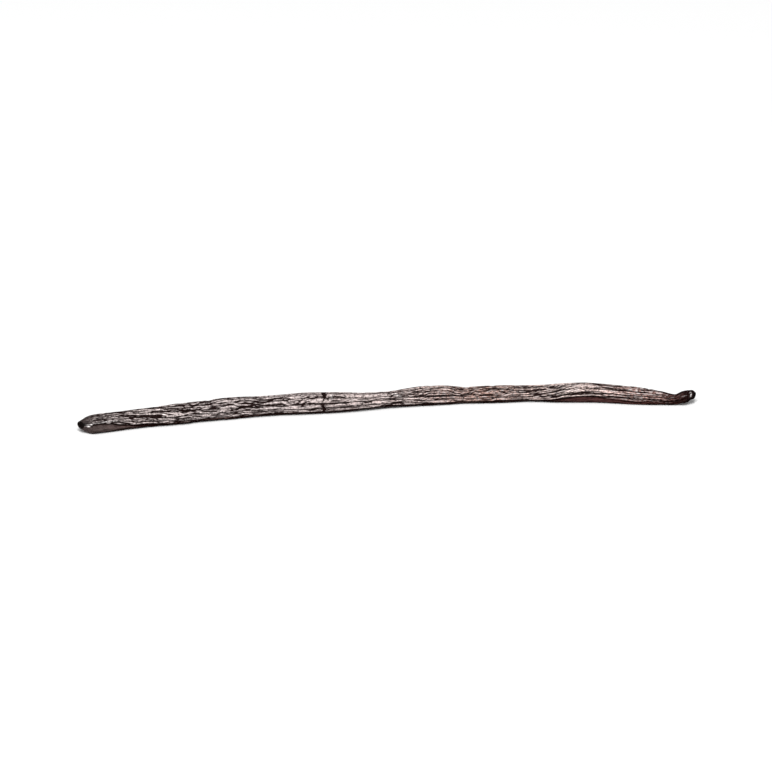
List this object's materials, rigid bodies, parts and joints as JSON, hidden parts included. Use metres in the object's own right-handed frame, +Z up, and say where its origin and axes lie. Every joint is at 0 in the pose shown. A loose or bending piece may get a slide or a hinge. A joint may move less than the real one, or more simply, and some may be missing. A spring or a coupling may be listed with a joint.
{
  "type": "vanilla pod",
  "caption": "Cured vanilla pod lying on its side: a long, thin, lengthwise-wrinkled seed pod with a blunt scarred end and a short upturned crook at the stem end.",
  "frame": {"origin": "on the surface that the pod lies on, under the middle of its bounding box", "axes": "+X runs from the blunt blossom end to the stem end, +Z is up from the surface, -Y faces the viewer"},
  "size_m": [0.1638, 0.0134, 0.0052],
  "materials": {
    "cured_skin": "dark brown cured pod skin, oily and half glossy, deeply wrinkled along its length"
  },
  "bodies": {
    "root": {"pod": "cured_skin"}
  },
  "joints": []
}
